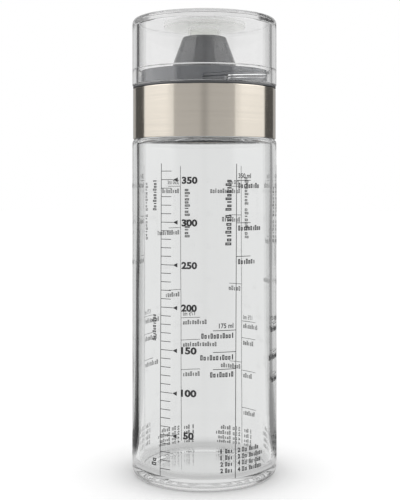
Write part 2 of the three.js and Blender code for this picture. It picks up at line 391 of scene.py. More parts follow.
class NodeBench:
    """Adds nodes to one tree and links them."""

    def __init__(self, tree: Tree) -> None:
        """Starts on a tree."""
        self.tree = tree
        self.column = 0

    def add(self, kind: str, inputs: Inputs | None = None, **settings: object) -> bpy.types.Node:
        """Adds a node.

        Args:
            kind: The node's type, such as ShaderNodeBump.
            inputs: Input name or index to a value or to another node's output socket.
            settings: Properties of the node itself.

        Returns:
            The new node.
        """
        node = self.tree.nodes.new(kind)
        node.location = (180 * self.column, 0)
        self.column += 1
        for name, value in settings.items():
            setattr(node, name, value)
        for name, value in (inputs or {}).items():
            socket = node.inputs[name]
            if isinstance(value, Socket):
                self.tree.links.new(value, socket)
            else:
                socket.default_value = value
        return node

    def math(self, operation: str, *values: object) -> Socket:
        """Adds a Math node on numbers or sockets, and gives the result's socket."""
        return self.add("ShaderNodeMath", dict(enumerate(values)), operation=operation).outputs[0]

    def mix_colour(self, factor: object, first: object, second: object,
                   blend: str = "MIX") -> Socket:
        """Mixes two colours, values or sockets, and gives the result's socket."""
        return self.add("ShaderNodeMix", {0: factor, 6: first, 7: second},
                        data_type="RGBA", blend_type=blend).outputs[2]

    def ramp(self, value: object, stops: Stops, ease: str = "LINEAR") -> Socket:
        """Adds a colour ramp of greys over a value from 0 to the last stop.

        Args:
            value: The value's socket.
            stops: Pairs of value and grey level.
            ease: The interpolation.

        Returns:
            The ramp's colour socket.
        """
        furthest = stops[-1][0]
        node = self.add("ShaderNodeValToRGB", {0: self.math("DIVIDE", value, furthest)})
        node.color_ramp.interpolation = ease
        elements = node.color_ramp.elements
        while len(elements) < len(stops):
            elements.new(0.5)
        for element, (position, level) in zip(elements, stops):
            element.position = position / furthest
            element.color = (level, level, level, 1.0)
        return node.outputs[0]

    def noise(self, place: object, scale: object, detail: float,
              roughness: float = 0.5) -> Socket:
        """Adds a noise texture and gives the socket of its value."""
        return self.add("ShaderNodeTexNoise", {"Vector": place, "Scale": scale, "Detail": detail,
                                               "Roughness": roughness}).outputs[0]

    def stretch(self, place: object, scale: tuple[float, float, float],
                turn: tuple[float, float, float] = (0.0, 0.0, 0.0)) -> Socket:
        """Turns and scales a place, and gives the result's socket."""
        return self.add("ShaderNodeMapping", {"Vector": place, "Rotation": turn,
                                              "Scale": scale}).outputs[0]

    def between(self, value: object, low: float, high: float) -> Socket:
        """Maps a value to 0 at its low end and 1 at its high end, and holds it there beyond."""
        return self.add("ShaderNodeMapRange", {0: value, 1: low, 2: high}).outputs[0]

    def bump(self, height: object, strength: float, distance: float) -> Socket:
        """Adds a bump and gives the socket of its normal."""
        return self.add("ShaderNodeBump", {"Height": height, "Strength": strength,
                                           "Distance": distance}).outputs[0]


def empty_bench(owner: Material | bpy.types.World) -> NodeBench:
    """Clears the node tree of a material or a world, and gives a bench on it."""
    owner.use_nodes = True
    owner.node_tree.nodes.clear()
    return NodeBench(owner.node_tree)


def grey(level: float) -> tuple[float, ...]:
    """Gives a grey with full alpha."""
    return (level, level, level, 1.0)


def rgba(colour: Colour, tone: float = 1.0) -> tuple[float, ...]:
    """Gives a colour, made darker or lighter, with full alpha."""
    return (*(min(1.0, tone * part) for part in colour), 1.0)


def new_group(name: str, inputs: dict[str, str], outputs: dict[str, str]) -> Tree:
    """Makes an empty shader node group.

    Args:
        name: The group's name.
        inputs: Input names and their socket types.
        outputs: Output names and their socket types.

    Returns:
        The group.
    """
    group = bpy.data.node_groups.new(name, "ShaderNodeTree")
    for way, sockets in (("INPUT", inputs), ("OUTPUT", outputs)):
        for label, kind in sockets.items():
            group.interface.new_socket(label, in_out=way, socket_type=f"NodeSocket{kind}")
    return group


class SharedEffects:
    """The node groups that several finishes use, each built once."""

    grain_scale = 2500.0

    def __init__(self) -> None:
        """Builds every group."""
        self.handling = self.build_handling()
        self.grain = self.build_grain()

    def build_handling(self) -> Tree:
        """Builds faint smudges and fine hairline marks from being handled and washed.

        Returns:
            A group with the inputs Scale and Amount and the outputs Smudge and Hairline.
        """
        group = new_group("handling_marks", {"Scale": "Float", "Amount": "Float"},
                          {"Smudge": "Float", "Hairline": "Float"})
        bench = NodeBench(group)
        given = bench.add("NodeGroupInput").outputs
        place = bench.add("ShaderNodeTexCoord").outputs["Object"]
        cloud = bench.noise(place, given["Scale"], 4.0, 0.6)
        smudge = bench.math("MULTIPLY", bench.between(cloud, 0.45, 0.75), given["Amount"])
        fine = bench.math("MULTIPLY", given["Scale"], 22.0)
        stretched = bench.stretch(place, (1.0, 1.0, 0.04), (0.5, 0.3, 0.8))
        hair = bench.between(bench.noise(stretched, fine, 1.0), 0.72, 0.8)
        hair = bench.math("MULTIPLY", hair, given["Amount"])
        bench.add("NodeGroupOutput", {"Smudge": smudge, "Hairline": hair})
        return group

    def build_grain(self) -> Tree:
        """Builds the fine grain of a moulded surface.

        Returns:
            A group with the input Scale and the output Height.
        """
        group = new_group("moulded_grain", {"Scale": "Float"}, {"Height": "Float"})
        bench = NodeBench(group)
        given = bench.add("NodeGroupInput").outputs
        place = bench.add("ShaderNodeTexCoord").outputs["Object"]
        bench.add("NodeGroupOutput", {"Height": bench.noise(place, given["Scale"], 2.0)})
        return group

    def marks(self, bench: NodeBench, scale: float, amount: float) -> Outputs:
        """Places the handling marks and gives their outputs."""
        return bench.add("ShaderNodeGroup", {"Scale": scale, "Amount": amount},
                         node_tree=self.handling).outputs

    def grained(self, bench: NodeBench, strength: float, distance: float) -> Socket:
        """Places the moulded grain and gives the socket of its normal."""
        grain = bench.add("ShaderNodeGroup", {"Scale": self.grain_scale}, node_tree=self.grain)
        return bench.bump(grain.outputs["Height"], strength, distance)


@dataclass(frozen=True)
class Finish:
    """A material with one Principled BSDF. Each kind of finish gives the shader its inputs."""

    name: str

    def material(self, effects: SharedEffects) -> Material:
        """Builds the material.

        Args:
            effects: The shared node groups.

        Returns:
            The material.
        """
        material = bpy.data.materials.new(self.name)
        bench = empty_bench(material)
        where = bench.add("ShaderNodeTexCoord").outputs
        shader = bench.add("ShaderNodeBsdfPrincipled", self.surface(bench, where, effects))
        bench.add("ShaderNodeOutputMaterial", {"Surface": shader.outputs[0]})
        return material

    def surface(self, bench: NodeBench, where: Outputs, effects: SharedEffects) -> Inputs:
        """Builds the nodes that the shader takes its inputs from.

        Args:
            bench: Where to add them.
            where: The outputs of the texture coordinates.
            effects: The shared node groups.

        Returns:
            The shader's inputs by name, each a value or a socket.
        """
        raise NotImplementedError


@dataclass(frozen=True)
class ClearFinish(Finish):
    """Clear glass or clear plastic: tint, bending of light, waviness and faint handling marks."""

    tint: Colour
    ior: float
    wave_scale: float
    wave_depth: float
    wear: float
    calm_below: tuple[float, float] = (-1.0, -0.5)

    def surface(self, bench: NodeBench, where: Outputs, effects: SharedEffects) -> Inputs:
        """Builds slow waves that fade out towards the foot, and the marks."""
        place = where["Object"]
        wave = bench.noise(bench.stretch(place, (1.0, 1.0, 0.35)), self.wave_scale, 1.0)
        height = bench.add("ShaderNodeSeparateXYZ", {0: place}).outputs[2]
        rolling = bench.math("MULTIPLY", wave, bench.between(height, *self.calm_below))
        marks = effects.marks(bench, 45.0, self.wear)
        worn = bench.math("ADD", marks["Smudge"], marks["Hairline"])
        return {
            "Base Color": rgba(self.tint), "IOR": self.ior, "Transmission Weight": 1.0,
            "Roughness": bench.math("MULTIPLY", worn, 0.03),
            "Normal": bench.bump(rolling, 1.0, self.wave_depth),
        }


@dataclass(frozen=True)
class SteelFinish(Finish):
    """Stainless steel brushed round the band."""

    colour: Colour
    roughness: float
    brushing: float
    anisotropy: float

    def surface(self, bench: NodeBench, where: Outputs, effects: SharedEffects) -> Inputs:
        """Builds fine and broad streaks round the band, and the marks."""
        place = where["Object"]
        streak = bench.noise(bench.stretch(place, (10.0, 10.0, 4200.0)), 1.0, 3.0, 0.7)
        cloud = bench.noise(bench.stretch(place, (20.0, 20.0, 900.0)), 1.0, 2.0)
        both = bench.math("MULTIPLY_ADD", cloud, 0.5, streak)
        tone = bench.between(both, 0.45, 1.05)
        smudge = effects.marks(bench, 70.0, 0.6)["Smudge"]
        rough = bench.math("MULTIPLY_ADD", both, self.brushing, self.roughness)
        tangent = bench.add("ShaderNodeTangent", direction_type="RADIAL", axis="Z")
        return {
            "Base Color": bench.mix_colour(tone, rgba(self.colour, 0.95), rgba(self.colour, 1.04)),
            "Metallic": 1.0, "Anisotropic": self.anisotropy, "Anisotropic Rotation": 0.25,
            "Roughness": bench.math("MULTIPLY_ADD", smudge, 0.05, rough),
            "Normal": bench.bump(streak, 0.2, 0.00001),
            "Tangent": tangent.outputs[0],
        }


@dataclass(frozen=True)
class InkFinish(Finish):
    """Printing ink that is dark outside and greyer where it is seen through the glass."""

    outside: Colour
    inside: Colour
    roughness: float

    def surface(self, bench: NodeBench, where: Outputs, effects: SharedEffects) -> Inputs:
        """Builds the two colours, thinned by the marks."""
        facing = bench.add("ShaderNodeVectorMath", {0: where["Object"], 1: where["Normal"]},
                           operation="DOT_PRODUCT").outputs["Value"]
        inner = bench.math("LESS_THAN", facing, 0.0)
        colour = bench.mix_colour(inner, rgba(self.outside), rgba(self.inside))
        smudge = effects.marks(bench, 160.0, 1.0)["Smudge"]
        thin = bench.math("MULTIPLY", smudge, 0.12)
        return {
            "Base Color": bench.mix_colour(thin, colour, rgba((0.3, 0.3, 0.3))),
            "Roughness": bench.math("MULTIPLY_ADD", smudge, 0.15, self.roughness),
            "Normal": effects.grained(bench, 0.4, 0.00002),
        }


@dataclass(frozen=True)
class Zone:
    """A range of heights, in millimetres, where a moulding's colour is scaled to paint in shade
    when darker and light when lighter, and its roughness raised.
    """

    low: float
    high: float
    tone: float
    matt: float


@dataclass(frozen=True)
class SolidFinish(Finish):
    """A moulding of plastic or silicone."""

    colour: Colour
    roughness: float
    ior: float
    grain_depth: float
    variation: float
    wear: float
    clearness: float = 0.0
    zones: tuple[Zone, ...] = ()

    def surface(self, bench: NodeBench, where: Outputs, effects: SharedEffects) -> Inputs:
        """Builds a slightly cloudy colour, its bands of painted shade and painted light, the marks
        and the grain.
        """
        place = where["Object"]
        colour = bench.mix_colour(bench.noise(place, 90.0, 3.0),
                                  rgba(self.colour, 1 - self.variation),
                                  rgba(self.colour, 1 + self.variation))
        smudge = effects.marks(bench, 80.0, self.wear)["Smudge"]
        rough = bench.math("MULTIPLY_ADD", smudge, 0.12, self.roughness)
        height = bench.add("ShaderNodeSeparateXYZ", {0: place}).outputs[2]
        # Each band paints shade or light into the colour by height: darker stands in for shade,
        # lighter for light.
        for painted_zone in self.zones:
            middle = (painted_zone.low + painted_zone.high) / 2 * METRES_PER_MM
            half = (painted_zone.high - painted_zone.low) / 2 * METRES_PER_MM
            inside = bench.math("COMPARE", height, middle, half)
            rough = bench.math("MULTIPLY_ADD", inside, painted_zone.matt, rough)
            colour = bench.mix_colour(inside, colour, rgba(self.colour, painted_zone.tone))
        return {
            "Base Color": colour, "Roughness": rough, "IOR": self.ior,
            "Transmission Weight": self.clearness,
            "Normal": effects.grained(bench, 0.6, self.grain_depth),
        }


class Slot(enum.Enum):
    """The record's material slots, each with its finish."""

    CLEAR_GLASS = "clear_glass"
    CLEAR_PLASTIC = "clear_plastic"
    BRUSHED_STEEL = "brushed_steel"
    GREY_PLASTIC = "grey_plastic"
    GREY_SILICONE = "grey_silicone"
    PALE_SILICONE = "pale_silicone"


FINISHES: dict[Slot, Finish] = {
    Slot.CLEAR_GLASS: ClearFinish(
        "clear_glass", (0.985, 0.99, 0.988), 1.5, 55.0, 0.00018, 0.5, (0.008, 0.03)),
    Slot.CLEAR_PLASTIC: ClearFinish(
        "clear_plastic", (0.985, 0.985, 0.985), 1.49, 40.0, 0.00006, 0.8),
    Slot.BRUSHED_STEEL: SteelFinish(
        "brushed_steel", (0.72, 0.665, 0.585), 0.1, 0.08, 0.75),
    Slot.GREY_PLASTIC: SolidFinish(
        "grey_plastic", (0.036, 0.041, 0.05), 0.1, 2.2, 0.000003, 0.05, 0.5, zones=(
            # Painted shade: the flange rim between the steel band and the cap is darker and more
            # matt.
            Zone(SIZES.flange_underside - 0.05, SIZES.flange_top + 0.05, 0.5, 0.45),
            # Painted light: the collar and the cone at its height are lighter, standing in for the
            # light seen on them through the cap.
            Zone(SIZES.flange_top + 0.2, SIZES.collar_top - 0.2, 2.6, 0.0))),
    Slot.GREY_SILICONE: SolidFinish(
        "grey_silicone", (0.3, 0.31, 0.32), 0.5, 1.42, 0.00004, 0.06, 0.5),
    Slot.PALE_SILICONE: SolidFinish(
        "pale_silicone", (0.93, 0.935, 0.915), 0.12, 1.06, 0.000003, 0.0, 0.4, 1.0),
}
INK = InkFinish("scale_ink", (0.022, 0.022, 0.024), (0.2, 0.2, 0.2), 0.42)


class Workshop:
    """Keeps the materials, and puts each finished piece in its place in the frame."""

    def __init__(self) -> None:
        """Builds the shared effects and every slot's material."""
        effects = SharedEffects()
        self.materials = {slot: finish.material(effects) for slot, finish in FINISHES.items()}
        self.ink = INK.material(effects)

    def fit(self, piece: Piece, slot: Slot, body: str, node: str) -> None:
        """Dresses a piece, lets it ride on its body, and hides the node that it stands for.

        Args:
            piece: The finished object.
            slot: The material slot it takes its finish from.
            body: The body it moves with.
            node: The node it replaces.
        """
        weighted_normals(piece)
        piece.data.materials.clear()
        piece.data.materials.append(self.materials[slot])
        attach(piece, body)
        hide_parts(node)
        LOG.info("%s: %d faces, rides on %s", piece.name, len(piece.data.polygons), body)

    def print_on_glass(self, sheet: Piece) -> None:
        """Inks a sheet that lies round the glass, and lets it ride on the bottle."""
        sheet.data.materials.clear()
        sheet.data.materials.append(self.ink)
        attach(sheet, "bottle")
        LOG.info("%s: %d faces of ink", sheet.name, len(sheet.data.polygons))


# ---------------------------------------------------------------- the pieces


@dataclass
class GlassBottle:
    """The glass: push-up and foot ring, thick floor, straight wall, shoulder, threaded neck."""

    heel_radius: float = 3.2
    inner_heel_radius: float = 4.5
    foot_ring_width: float = 5.0
    push_up_height: float = 1.4
    push_up_slope: float = 5.0
    shoulder_radius: float = 2.2
    inner_shoulder_radius: float = 1.6
    inner_shoulder_depth: float = 1.0
    inner_shoulder_drop: float = 0.3
    neck_fillet: float = 0.8
    rim_radius: float = 0.9
    thread_start: float = 6.8
    thread_turns: float = 1.25
    run_out_degrees: float = 18.0

    def profile(self) -> list[Corner]:
        """Gives the section of the glass, from the push-up round the outside to the floor."""
        foot_inner = SIZES.body_radius - self.heel_radius - self.foot_ring_width
        inner_top = SIZES.shoulder_height - self.inner_shoulder_depth
        bore = SIZES.body_radius - SIZES.glass_wall
        return [
            Corner(0, self.push_up_height),
            Corner(foot_inner - self.push_up_slope, self.push_up_height, 5.0, 4),
            Corner(foot_inner, 0, 2.0, 4),
            Corner(SIZES.body_radius, 0, self.heel_radius, 10),
            Corner(SIZES.body_radius, SIZES.shoulder_height, self.shoulder_radius, 8),
            Corner(SIZES.neck_radius, SIZES.shoulder_height, self.neck_fillet, 4),
            Corner(SIZES.neck_radius, SIZES.rim_height, self.rim_radius, 5),
            Corner(SIZES.neck_bore_radius, SIZES.rim_height, self.rim_radius, 5),
            Corner(SIZES.neck_bore_radius, inner_top, self.inner_shoulder_radius, 5),
            Corner(bore, inner_top - self.inner_shoulder_drop, self.inner_shoulder_radius, 6),
            Corner(bore, SIZES.floor_thickness, self.inner_heel_radius, 12),
            Corner(0, SIZES.floor_thickness),
        ]

    def build(self) -> Piece:
        """Builds the glass with its neck thread."""
        glass = piece_from("bottle_glass", turned_body(self.profile()))
        weld(glass, [Ridge(
            NECK_THREAD, SIZES.neck_radius, False, SIZES.shoulder_height + self.thread_start,
            0.0, 360 * self.thread_turns, self.run_out_degrees, self.run_out_degrees,
        )])
        return glass

    def dress(self, workshop: Workshop) -> None:
        """Builds the glass and fits it to its body."""
        workshop.fit(self.build(), Slot.CLEAR_GLASS, "bottle", "glass_bottle")


@dataclass
class NeckGasket:
    """The soft ring between the closure's deck and the glass rim."""

    edge_radius: float = 0.4

    def build(self) -> Piece:
        """Builds the ring."""
        inner = SIZES.neck_bore_radius + SIZES.seat_gap
        outer = SIZES.skirt_bore_radius - SIZES.seat_gap
        low = SIZES.rim_height + SIZES.seat_gap
        high = low + SIZES.gasket_thickness
        return piece_from("neck_ring", turned_body([
            Corner(inner, low, self.edge_radius, 3),
            Corner(outer, low, self.edge_radius, 3),
            Corner(outer, high, self.edge_radius, 3),
            Corner(inner, high, self.edge_radius, 3),
        ]))

    def dress(self, workshop: Workshop) -> None:
        """Builds the ring and fits it to its body."""
        workshop.fit(self.build(), Slot.GREY_SILICONE, "gasket", "neck_gasket")


@dataclass
class PourClosure:
    """The grey moulding with skirt, flange, threaded collar and cone, and its steel band."""

    skirt_foot_gap: float = 0.6
    collar_wall: float = 1.8
    collar_edge_radius: float = 0.5
    cone_top_radius: float = 9.75
    cone_flare_degrees: float = 20.3
    cone_lip_radius: float = 1.0
    cone_foot_radius: float = 1.5
    mouth_radius: float = 7.6
    mouth_depth: float = 3.0
    mouth_edge_radius: float = 0.5
    cone_wall: float = 2.0
    edge_radius: float = 0.15
    thread_start: float = 2.4
    thread_start_degrees: float = -2.0
    entry_degrees: float = 1.5
    run_out_degrees: float = 12.0
    neck_run_out_degrees: float = 18.0
    band_lap: float = 0.2
    band_edge_radius: float = 0.3

    def profile(self) -> list[Corner]:
        """Gives the section of the moulding."""
        flare = math.tan(math.radians(self.cone_flare_degrees))
        deck = SIZES.closure_height
        deck_top = deck + SIZES.deck_thickness
        skirt_foot = SIZES.shoulder_height + self.skirt_foot_gap
        collar_bore = SIZES.collar_radius - self.collar_wall
        foot_outer = self.cone_top_radius + flare * SIZES.cone_height
        foot_inner = self.cone_top_radius + flare * (SIZES.cone_top - deck) - self.cone_wall
        edge = self.edge_radius
        return [
            Corner(SIZES.skirt_bore_radius, skirt_foot, edge, 2),
            Corner(SIZES.skirt_radius, skirt_foot, edge, 2),
            Corner(SIZES.skirt_radius, SIZES.flange_underside),
            Corner(SIZES.band_radius, SIZES.flange_underside, edge, 2),
            Corner(SIZES.band_radius, SIZES.flange_top, edge, 2),
            Corner(SIZES.collar_radius, SIZES.flange_top, 0.3, 3),
            Corner(SIZES.collar_radius, SIZES.collar_top, self.collar_edge_radius, 4),
            Corner(collar_bore, SIZES.collar_top, self.collar_edge_radius, 4),
            Corner(collar_bore, deck_top, 0.4, 3),
            Corner(foot_outer, deck_top, self.cone_foot_radius, 5),
            Corner(self.cone_top_radius, SIZES.cone_top, self.cone_lip_radius, 6),
            Corner(self.mouth_radius, SIZES.cone_top, self.mouth_edge_radius, 4),
            Corner(self.mouth_radius, SIZES.cone_top - self.mouth_depth),
            Corner(foot_inner, deck, edge, 2),
            Corner(SIZES.skirt_bore_radius, deck, 0.3, 2),
        ]

    def ridges(self) -> list[Ridge]:
        """Gives the collar's two ridges and the one inside the skirt."""
        rise = SIZES.collar_height - self.thread_start - CAP_THREAD.root_width / 2
        sweep = 360 * rise / CAP_THREAD.lead
        ridges = [Ridge(
            CAP_THREAD, SIZES.collar_radius, False, SIZES.flange_top + self.thread_start,
            self.thread_start_degrees + turn, sweep, self.entry_degrees, self.run_out_degrees,
        ) for turn in (0.0, 180.0)]
        ridges.append(Ridge(
            NECK_THREAD, SIZES.skirt_bore_radius, True,
            SIZES.shoulder_height + GlassBottle.thread_start - NECK_THREAD.mating_offset(),
            0.0, 360.0, self.neck_run_out_degrees, self.neck_run_out_degrees,
        ))
        return ridges

    def build(self) -> Piece:
        """Builds the moulding with its threads."""
        moulding = piece_from("pour_moulding", turned_body(self.profile()))
        weld(moulding, self.ridges())
        return moulding

    def build_band(self) -> Piece:
        """Builds the steel sleeve round the skirt."""
        foot = SIZES.shoulder_height - self.band_lap
        top = SIZES.flange_underside - SIZES.seat_gap
        inner = SIZES.band_radius - SIZES.band_thickness
        return piece_from("band_steel", turned_body([
            Corner(inner, foot, 0.1, 2),
            Corner(SIZES.band_radius, foot, self.band_edge_radius, 4),
            Corner(SIZES.band_radius, top, self.band_edge_radius, 4),
            Corner(inner, top, 0.1, 2),
        ]))

    def dress(self, workshop: Workshop) -> None:
        """Builds the moulding and the band and fits them to their body."""
        workshop.fit(self.build(), Slot.GREY_PLASTIC, "closure", "pour_closure")
        workshop.fit(self.build_band(), Slot.BRUSHED_STEEL, "closure", "steel_band")


@dataclass
class ClearCap:
    """The clear cup with its lugs, and the soft disc and plug under its ceiling."""

    top_edge_radius: float = 2.4
    rim_radius: float = 0.5
    ceiling_radius: float = 1.0
    step_width: float = 0.5
    step_gap: float = 0.4
    lug_delay_degrees: float = 18.0
    lug_sweep_degrees: float = 45.0
    lug_end_degrees: float = 4.0
    thread_start: float = 2.4
    thread_start_degrees: float = -2.0
    disc_radius: float = 18.4
    disc_thickness: float = 0.9
    disc_edge_radius: float = 0.3
    plug_radius: float = 7.3
    plug_wall: float = 1.3
    plug_reach: float = 2.0
    plug_tip_radius: float = 0.6
    plug_roof: float = 1.4

    def profile(self) -> list[Corner]:
        """Gives the section of the cup."""
        bore = SIZES.cap_bore_radius
        upper_bore = bore - self.step_width
        step = SIZES.collar_top + self.step_gap
        return [
            Corner(0, SIZES.cap_ceiling),
            Corner(upper_bore, SIZES.cap_ceiling, self.ceiling_radius, 6),
            Corner(upper_bore, step + self.step_width, 0.15, 3),
            Corner(bore, step, 0.15, 3),
            Corner(bore, SIZES.cap_seat, 0.2, 3),
            Corner(SIZES.body_radius, SIZES.cap_seat, self.rim_radius, 4),
            Corner(SIZES.body_radius, SIZES.cap_top, self.top_edge_radius, 10),
            Corner(0, SIZES.cap_top),
        ]

    def lugs(self) -> list[Ridge]:
        """Gives the two lugs that hold the cup under the collar's ridges."""
        delay_rise = CAP_THREAD.lead * self.lug_delay_degrees / 360
        height = (SIZES.cap_seat + self.thread_start + delay_rise
                  - CAP_THREAD.mating_offset() - SIZES.seat_gap)
        return [Ridge(
            CAP_THREAD, SIZES.cap_bore_radius, True, height,
            self.thread_start_degrees + self.lug_delay_degrees + turn,
            self.lug_sweep_degrees, self.lug_end_degrees, self.lug_end_degrees, 0.4, 0.05,
        ) for turn in (0.0, 180.0)]

    def build(self) -> Piece:
        """Builds the cup with its lugs."""
        cup = piece_from("cap_clear", turned_body(self.profile()))
        weld(cup, self.lugs())
        return cup

    def build_liner(self) -> Piece:
        """Builds the disc with its hollow plug."""
        top = SIZES.cap_ceiling - SIZES.seat_gap
        tip = SIZES.cone_top - self.plug_reach
        hollow = self.plug_radius - self.plug_wall
        return piece_from("cap_disc", turned_body([
            Corner(0, top - self.plug_roof),
            Corner(hollow, top - self.plug_roof, 0.3, 3),
            Corner(hollow, tip, self.plug_tip_radius, 4),
            Corner(self.plug_radius, tip, self.plug_tip_radius, 4),
            Corner(self.plug_radius, top - self.disc_thickness, 0.3, 3),
            Corner(self.disc_radius, top - self.disc_thickness, self.disc_edge_radius, 3),
            Corner(self.disc_radius, top, self.disc_edge_radius, 3),
            Corner(0, top),
        ]))

    def dress(self, workshop: Workshop) -> None:
        """Builds the cup and the liner and fits them to their bodies."""
        workshop.fit(self.build(), Slot.CLEAR_PLASTIC, "cap", "clear_cap")
        workshop.fit(self.build_liner(), Slot.PALE_SILICONE, "liner", "cap_liner")


# ---------------------------------------------------------------- print on the glass


# Stand-in blocks: heights, pitch and bar stroke as shares of the row's height or the stroke.
BLOCK_HEIGHTS = (1.0, 0.72, 0.72, 1.0, 0.72, 0.85, 0.72)
BLOCK_PITCH = 0.58
BLOCK_WIDTH = 0.74
BAR_SHIFT = 0.25
BAR_WIDTH = 1.3


def frame_of(u: float, v: float, wide: float, tall: float) -> Matrix:
    """Gives the matrix that scales a flat mark and then moves it."""
    return Matrix.Translation((u, v, 0)) @ Matrix.Diagonal((wide, tall, 1, 1))


def upright(u: float, v: float) -> Matrix:
    """Gives the matrix that turns a row of words so that it reads upwards."""
    return Matrix.Translation((u, v, 0)) @ Matrix.Rotation(math.pi / 2, 4, "Z")


@dataclass
class InkSheet:
    """Flat marks that are laid round the glass: u runs round it to the right, v runs up."""

    name: str
    radius: float = 32.53
    thickness: float = 0.04
    step: float = 1.5
    lean: float = 0.005
    upright_at: float = 95.0
    line_width: float = 0.3
    tick_width: float = 0.28

    def __post_init__(self) -> None:
        """Starts with no ink."""
        self.ink = bmesh.new()

    def bar(self, left: float, low: float, width: float, height: float,
            place: Matrix | None = None) -> None:
        """Adds a rectangle by its lower left corner, width and height, moved by a matrix."""
        matrix = (place or Matrix.Identity(4)) @ frame_of(
            left + width / 2, low + height / 2, width / 2, height / 2)
        bmesh.ops.create_grid(
            self.ink, x_segments=max(1, round(width / self.step)), y_segments=1, size=1.0,
            matrix=matrix,
        )

    def long_line(self, middle: float, foot: float, head: float) -> None:
        """Adds an upright line."""
        self.bar(middle - self.line_width / 2, foot, self.line_width, head - foot)

    def tick(self, left: float, middle: float, reach: float) -> None:
        """Adds a level mark."""
        self.bar(left, middle - self.tick_width / 2, reach, self.tick_width)

    def arrow(self, tip: float, middle: float, length: float, height: float) -> None:
        """Adds a triangle whose point, at tip and middle, looks to the left."""
        matrix = frame_of(tip + length * 2 / 3, middle, length * 2 / 3, height / math.sqrt(3))
        bmesh.ops.create_circle(self.ink, cap_ends=True, segments=3, radius=1.0,
                                matrix=matrix @ Matrix.Rotation(math.pi / 2, 4, "Z"))

    def label(self, text: str, left: float, low: float, width: float, height: float,
              weight: float = 0.045) -> None:
        """Adds plain numbers or a unit, fitted to a width and a height.

        Args:
            text: What is written.
            left: The u of its left side.
            low: The v of its foot.
            width: Its full width.
            height: Its full height.
            weight: How much the strokes are thickened.
        """
        curve = bpy.data.curves.new("label", "FONT")
        curve.body = text
        curve.offset = weight
        curve.resolution_u = 3
        writer = placed("label", curve)
        mesh = mesh_with_modifiers(writer)
        low_x = min(vert.co.x for vert in mesh.vertices)
        low_y = min(vert.co.y for vert in mesh.vertices)
        span_x = max(vert.co.x for vert in mesh.vertices) - low_x
        span_y = max(vert.co.y for vert in mesh.vertices) - low_y
        mesh.transform(frame_of(left, low, width / span_x, height / span_y)
                       @ Matrix.Translation((-low_x, -low_y, 0)))
        self.ink.from_mesh(mesh)
        bpy.data.meshes.remove(mesh)
        bpy.data.objects.remove(writer)
        bpy.data.curves.remove(curve)

    def words(self, left: float, low: float, width: float, height: float,
              place: Matrix | None = None, stroke: float = 0.18) -> None:
        """Adds a row of plain hollow blocks where small print would stand.

        Args:
            left: The u of its left side.
            low: The v of its foot.
            width: Its full width.
            height: Its full height.
            place: A turn and shift for the whole row.
            stroke: How thick the blocks' outlines are, as a share of the height.
        """
        count = max(2, round(width / (BLOCK_PITCH * height)))
        pitch = width / count
        place = place or Matrix.Identity(4)
        for number in range(count):
            share = BLOCK_HEIGHTS[number % len(BLOCK_HEIGHTS)]
            wide, tall = BLOCK_WIDTH * pitch, share * height
            if number % 4 == 2:
                self.bar(left + (number + BAR_SHIFT) * pitch, low,
                         BAR_WIDTH * stroke * height, tall, place)
                continue
            matrix = place @ frame_of(
                left + number * pitch + wide / 2, low + tall / 2, wide / 2, tall / 2)
            block = bmesh.ops.create_grid(
                self.ink, x_segments=1, y_segments=1, size=1.0, matrix=matrix)
            faces = list(block["verts"][0].link_faces)
            bmesh.ops.inset_individual(
                self.ink, faces=faces, thickness=stroke * height, use_even_offset=True)
            bmesh.ops.delete(self.ink, geom=faces, context="FACES")

    def lay_round(self) -> Piece:
        """Bends the sheet round the glass, gives it its thickness and makes it a piece."""
        ink = self.ink
        bmesh.ops.remove_doubles(ink, verts=list(ink.verts), dist=1e-4)
        for vert in ink.verts:
            angle = (vert.co.x + self.lean * (vert.co.y - self.upright_at)) / self.radius
            vert.co = Vector((self.radius * math.sin(angle), -self.radius * math.cos(angle),
                              vert.co.y))
        grown = bmesh.ops.extrude_face_region(ink, geom=list(ink.faces), use_keep_orig=True)
        outward = 1 + self.thickness / self.radius
        outer = [item for item in grown["geom"] if isinstance(item, bmesh.types.BMVert)]
        bmesh.ops.scale(ink, verts=outer, vec=(outward, outward, 1.0))
        bmesh.ops.recalc_face_normals(ink, faces=list(ink.faces))
        return piece_from(self.name, ink)


class GlassPrint:
    """Anything that is printed on the glass."""

    def build(self) -> Piece:
        """Builds the print as one sheet of ink."""
        raise NotImplementedError

    def dress(self, workshop: Workshop) -> None:
        """Builds the print and lets it ride on the bottle."""
        workshop.print_on_glass(self.build())


@dataclass
class MeasuringScale(GlassPrint):
    """The millilitre scale: a long line, a tick every 10 ml, and numbers every 50 ml."""

    line: float = -19.63
    foot: float = 5.6
    head: float = 138.6
    top_mark: float = 131.7
    tick_pitch: float = 3.612
    short_tick: float = 5.0
    long_tick: float = 5.9
    arrow_length: float = 2.1
    arrow_height: float = 1.9
    number_middle: float = -6.45
    number_drop: float = 0.3
    number_climb: float = 0.0027
    digit_width: float = 2.15
    number_height: float = 3.1
    upright_rows: tuple[tuple[float, float, float, float], ...] = (
        (-22.3, 118.6, 13.2, 2.0), (-22.3, 63.0, 11.4, 2.0), (-21.9, 9.6, 3.6, 2.6))

    def build(self) -> Piece:
        """Builds the scale as one sheet of ink."""
        sheet = InkSheet("print_scale")
        sheet.long_line(self.line, self.foot, self.head)
        for millilitres in range(10, 370, 10):
            height = self.top_mark - (350 - millilitres) / 10 * self.tick_pitch
            numbered = millilitres % 50 == 0
            reach = self.long_tick if numbered else self.short_tick
            sheet.tick(self.line, height, reach)
            if numbered:
                sheet.arrow(self.line + reach, height, self.arrow_length, self.arrow_height)
                text = str(millilitres)
                width = self.digit_width * len(text) + 0.3
                foot = (height - self.number_height / 2 - self.number_drop
                        + self.number_climb * (350 - millilitres))
                sheet.label(text, self.number_middle - width / 2, foot, width,
                            self.number_height)
        for left, low, length, size in self.upright_rows:
            sheet.words(0.0, 0.0, length, size, upright(left, low))
        return sheet.lay_round()


@dataclass(frozen=True)
class Step:
    """One filling step of a recipe panel: its height and the width of its words."""

    height: float
    words: float


